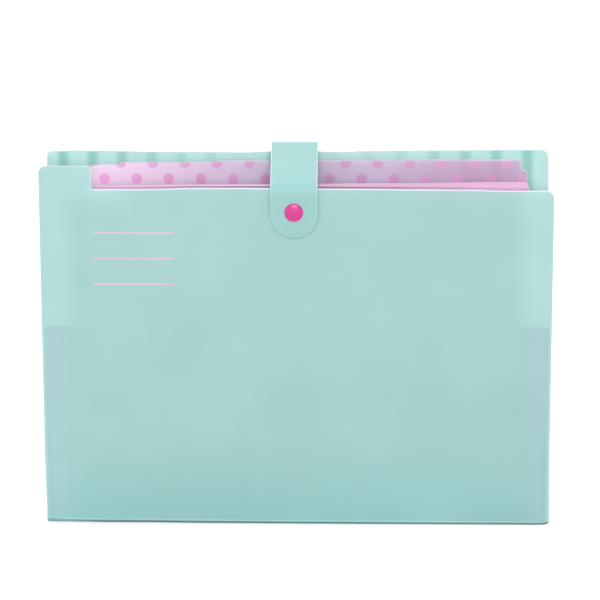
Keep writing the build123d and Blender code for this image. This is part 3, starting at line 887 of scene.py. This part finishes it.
def make_film(name, rows, thickness, material):
    """A folded film: rows of points across it, from one end to the other, thickened to both sides."""
    grid = np.array(rows)
    along = np.gradient(grid, axis=0)
    over = np.gradient(grid, axis=1)
    normals = np.cross(along, over)
    normals /= np.linalg.norm(normals, axis=2, keepdims=True)
    bm = bmesh.new()
    sides = [[[bm.verts.new(p) for p in row] for row in grid + normals * (k * thickness / 2)] for k in (1, -1)]
    last_row, last = len(rows) - 1, len(rows[0]) - 1
    for i in range(last_row):
        for j in range(last):
            for side in sides:
                bm.faces.new((side[i][j], side[i + 1][j], side[i + 1][j + 1], side[i][j + 1]))
    a, b = sides
    for i in range(last_row):
        for j in (0, last):
            bm.faces.new((a[i][j], a[i + 1][j], b[i + 1][j], b[i][j]))
    for j in range(last):
        for i in (0, last_row):
            bm.faces.new((a[i][j], a[i][j + 1], b[i][j + 1], b[i][j]))
    return finish_mesh(bm, name, [material], 50)


def film_line(corners, radii, counts):
    """Points along a folded film's section: runs with rounded folds, the same number whatever the shape."""
    straight, round_fold = counts
    points = []
    start = Vector(corners[0])
    for a, b, c, radius in zip(corners, corners[1:], corners[2:], radii):
        fold = corner_curve(a, b, c, radius, 0.4, round_fold)
        points += [start.lerp(fold[0], k / straight) for k in range(straight)] + fold[:-1]
        start = fold[-1]
    return points + [start.lerp(Vector(corners[-1]), k / straight) for k in range(straight + 1)]


class FOLDER_OT_pleats(bpy.types.Operator):
    """Make the pink film pleats at both sides and under each pocket"""

    bl_idname = "folder.pleats"
    bl_label = "Pleats"

    def execute(self, context):
        s = context.scene.folder_sizes
        root = s.panel_width / 2 - s.divider_inset
        rows, columns, sway = 22, 20, 0.5 * MM
        weld_fold, ridge_fold, valley_fold = 1.5 * MM, 1.0 * MM, 1.0 * MM

        def add_pleat(word, pocket, sections):
            pleat = make_film(f"{word}_pleat_film_{pocket}", sections, s.film,
                              stock("folded_pink_polypropylene_film"))
            blend_pocket(pleat)
            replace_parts(pleat, f"{word}_pleat_{pocket}")

        for pocket in range(1, POCKETS + 1):
            for side, word in ((-1, "left"), (1, "right")):
                sections = []
                for k in range(rows + 1):
                    z = s.pleat_bottom + (s.pleat_top - s.pleat_bottom) * k / rows
                    front, back = pocket_walls(s, pocket, z)
                    front, back = front + s.film / 2, back - s.film / 2
                    half_gap = (back - front) / 2
                    ridge = root + s.pleat_flap * math.cos(math.asin(half_gap / s.pleat_flap))
                    # Each ridge strays a little in its own way, more at its free top
                    ridge += sway * wave(pocket * 0.3, z, 60 * MM, 40.0 + side)
                    middle = (front + back) / 2 + sway * wave(z, pocket * 0.3, 50 * MM, 50.0 + side) * (k / rows)
                    line = film_line([(root - s.pleat_flange, front), (root, front), (ridge, middle), (root, back),
                                      (root - s.pleat_flange, back)], [weld_fold, ridge_fold, weld_fold], (4, 4))
                    sections.append([(side * p.x, p.y, z) for p in line])
                add_pleat(word, pocket, sections)
            front, back = pocket_walls(s, pocket, s.foot_ridge)
            line = film_line([(front + s.film / 2, s.foot_ridge), ((front + back) / 2, s.foot_valley),
                              (back - s.film / 2, s.foot_ridge)], [valley_fold], (4, 5))
            add_pleat("foot", pocket, [[(root * (2 * k / columns - 1), p.x, p.y) for p in line]
                                       for k in range(columns + 1)])
        return {"FINISHED"}


def strap_points(s):
    """The strap's path in the YZ plane, from the back edge over to the fold line and the tongue's tip."""
    out = s.cover_sheet + s.tongue_gap
    edge = front_edge(s)
    root = leaf_point(s, BACK, 0, s.panel_height).yz
    top = leaf_point(s, BACK, 0, s.panel_height + s.strap_rise).yz
    corner = leaf_point(s, FRONT, 0, edge + s.strap_fold_rise, out).yz
    tip = leaf_point(s, FRONT, 0, edge - s.tongue_reach, out).yz
    return root, top, corner, tip


class FOLDER_OT_strap(bpy.types.Operator):
    """Make the strap, one sheet from the back edge over the fan to the round tongue"""

    bl_idname = "folder.strap"
    bl_label = "Strap"

    def execute(self, context):
        s = context.scene.folder_sizes
        root, top, corner, tip = strap_points(s)
        lay_flat, run = path_place(folded_path([root, top, corner, tip], [s.strap_back_bend, s.strap_front_bend],
                                               0.6 * MM))

        def lay(across, along, out):
            drift = s.strap_drift * (1 - ease(along, 0, run * 0.6))
            narrow = 1 - s.strap_taper / s.strap_width * ease(along, 0, run * 0.35)
            return lay_flat(across * narrow + s.strap_offset - drift, along, out)

        half = s.strap_width / 2
        # Just under half the width, so that the two round corners don't run into one point
        end_round = half * 0.999
        outline = rounded_outline([(-half, 0), (half, 0), (half, run), (-half, run)], [0, 0, end_round, end_round],
                                  2 * MM, 0.5 * MM)
        face = stock("embossed_mint_polypropylene_strap")
        strap = make_sheet("strap_sheet", outline, lay, s.cover_sheet, 1.8 * MM,
                           [face, stock("die_cut_mint_polypropylene_strap"), face], lambda p: p.y < TOUCH,
                           rim=0.45 * MM)
        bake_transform(strap)
        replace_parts(strap, "strap_bridge", "strap_tongue")
        return {"FINISHED"}


class FOLDER_OT_snap(bpy.types.Operator):
    """Make the four turned parts of the snap fastener"""

    bl_idname = "folder.snap"
    bl_label = "Snap Fastener"

    def execute(self, context):
        s = context.scene.folder_sizes
        height = front_edge(s) - s.snap_drop
        sheet, tongue_out = s.cover_sheet / 2, s.cover_sheet + s.tongue_gap
        cap, ring, post, pin = s.snap_cap / 2, s.snap_ring / 2, 1.2 * MM, 1.4 * MM
        hole, bore, knob = post + 0.1 * MM, 2.7 * MM, 2 * MM

        def turned(name, profile, out, body, node):
            base = leaf_point(s, FRONT, s.strap_offset, height, out)
            made = make_lathe(name, profile, base, leaf_lean(s, FRONT), stock("moulded_pink_acetal"))
            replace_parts(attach(made, body), node)

        # Each profile holds radii and places along the axis, which points to the front
        skirt, dome_rise, steps = 0.75 * MM, 0.95 * MM, 14
        dome = [(cap * math.sin(t), skirt + dome_rise * math.cos(t) ** 1.6)
                for t in (math.pi / 2 * k / steps for k in range(steps + 1))]
        dome = [(r, a) for r, a in dome if r < cap - 0.75 * MM]
        crown = dome[-1]
        rim = round_profile([crown, (cap - 0.7 * MM, crown[1] - 0.12 * MM), (cap - 0.45 * MM, crown[1] - 0.02 * MM),
                             (cap, 0.7 * MM), (cap, 0), (post, 0), (post, -pin), (0, -pin)], 0.3 * MM)
        turned("snap_cap_dome", dome[:-1] + rim, tongue_out + sheet, "tongue", "snap_cap")
        socket = round_profile([(hole, 0), (ring, 0), (ring, -2.4 * MM), (bore + 0.5 * MM, -2.4 * MM),
                                (bore - 0.25 * MM, -1.9 * MM), (bore, -0.8 * MM), (hole, -0.8 * MM), (hole, 0)],
                               0.3 * MM)
        turned("snap_socket_ring", socket, tongue_out - sheet, "tongue", "snap_socket")
        stud = round_profile([(hole, 0), (ring, 0), (ring, 1.2 * MM), (knob - 0.25 * MM, 1.2 * MM), (knob, 2.1 * MM),
                              (knob - 0.4 * MM, 2.7 * MM), (0, 2.7 * MM)], 0.35 * MM)
        turned("snap_stud_knob", stud + [(0, 0.9 * MM), (hole, 0.9 * MM), (hole, 0)], sheet, "front_cover",
               "snap_stud")
        inner = round_profile([(0, -1 * MM), (cap - 1.2 * MM, -0.95 * MM), (cap, -0.35 * MM), (cap, 0), (post, 0),
                               (post, pin), (0, pin)], 0.4 * MM)
        turned("snap_stud_cap_disc", inner, -sheet, "front_cover", "snap_stud_cap")
        return {"FINISHED"}


class FOLDER_OT_stage(bpy.types.Operator):
    """Set the white paper sweep, the soft lights and the camera"""

    bl_idname = "folder.stage"
    bl_label = "Stage"

    def execute(self, context):
        scene, stage = context.scene, context.scene.folder_stage
        bm = bmesh.new()
        bmesh.ops.create_grid(bm, x_segments=24, y_segments=24, size=4.0)
        floor = finish_mesh(bm, "paper_floor", [stock("matt_white_paper")], 30)
        # Just under the spine, so that the two don't lie in one plane
        floor.location.z = -0.2 * MM

        world = bpy.data.worlds.new("soft_white_studio")
        scene.world = world
        world.use_nodes = True
        tree = world.node_tree
        tree.nodes.clear()
        level = add(tree, "MapRange", {0: eye_rays(tree), 3: 0.5, 4: 1.0})
        sky = add(tree, "Background", {"Color": (1, 1, 1, 1), "Strength": level})
        add(tree, "OutputWorld", {0: sky}, give=None)

        aim = Vector((stage.aim_across, 0, stage.aim_height))
        for name, spot, (wide, high), power in LAMPS:
            lamp = bpy.data.lights.new(name, "AREA")
            lamp.shape, lamp.size, lamp.size_y, lamp.energy = "RECTANGLE", wide, high, power
            holder = bpy.data.objects.new(name, lamp)
            holder.location = spot
            holder.rotation_euler = (aim - Vector(spot)).to_track_quat("-Z", "Y").to_euler()
            scene.collection.objects.link(holder)

        e, a, roll = stage.camera_elevation, stage.camera_azimuth, stage.camera_roll
        back = Vector((math.sin(a) * math.cos(e), -math.cos(a) * math.cos(e), math.sin(e)))
        camera = bpy.data.cameras.new("camera")
        camera.sensor_width = 36.0
        camera.lens = stage.focal_pixels * camera.sensor_width / PHOTO_PIXELS
        camera.clip_end = 50
        eye = bpy.data.objects.new("camera", camera)
        eye.location = aim + back * stage.camera_distance
        turned = (-back).to_track_quat("-Z", "Y").to_matrix() @ Matrix.Rotation(roll, 3, "Z")
        eye.rotation_euler = turned.to_euler()
        scene.collection.objects.link(eye)
        scene.camera = eye
        scene.view_settings.view_transform = "Standard"
        return {"FINISHED"}


STEPS = (FOLDER_OT_front_panel, FOLDER_OT_back_cover, FOLDER_OT_dividers, FOLDER_OT_pleats, FOLDER_OT_strap,
         FOLDER_OT_snap, FOLDER_OT_stage)


class FOLDER_PT_panel(bpy.types.Panel):
    """The folder's steps, sizes and colours"""

    bl_idname = "FOLDER_PT_panel"
    bl_label = "Expanding Folder"
    bl_space_type = "VIEW_3D"
    bl_region_type = "UI"
    bl_category = "Folder"

    def draw(self, context):
        for step in STEPS:
            self.layout.operator(step.bl_idname)
        for group in (context.scene.folder_sizes, context.scene.folder_colours, context.scene.folder_stage):
            box = self.layout.box()
            for name in group.__annotations__:
                box.prop(group, name)


CLASSES = (FolderSizes, FolderColours, FolderStage, *STEPS, FOLDER_PT_panel)


def register():
    for made in CLASSES:
        bpy.utils.register_class(made)
    bpy.types.Scene.folder_sizes = PointerProperty(type=FolderSizes)
    bpy.types.Scene.folder_colours = PointerProperty(type=FolderColours)
    bpy.types.Scene.folder_stage = PointerProperty(type=FolderStage)


def unregister():
    del bpy.types.Scene.folder_sizes, bpy.types.Scene.folder_colours, bpy.types.Scene.folder_stage
    for made in reversed(CLASSES):
        bpy.utils.unregister_class(made)


def main():
    register()
    bpy.ops.folder.front_panel()
    bpy.ops.folder.back_cover()
    bpy.ops.folder.dividers()
    bpy.ops.folder.pleats()
    bpy.ops.folder.strap()
    bpy.ops.folder.snap()
    bpy.ops.folder.stage()


if __name__ == "__main__":
    main()
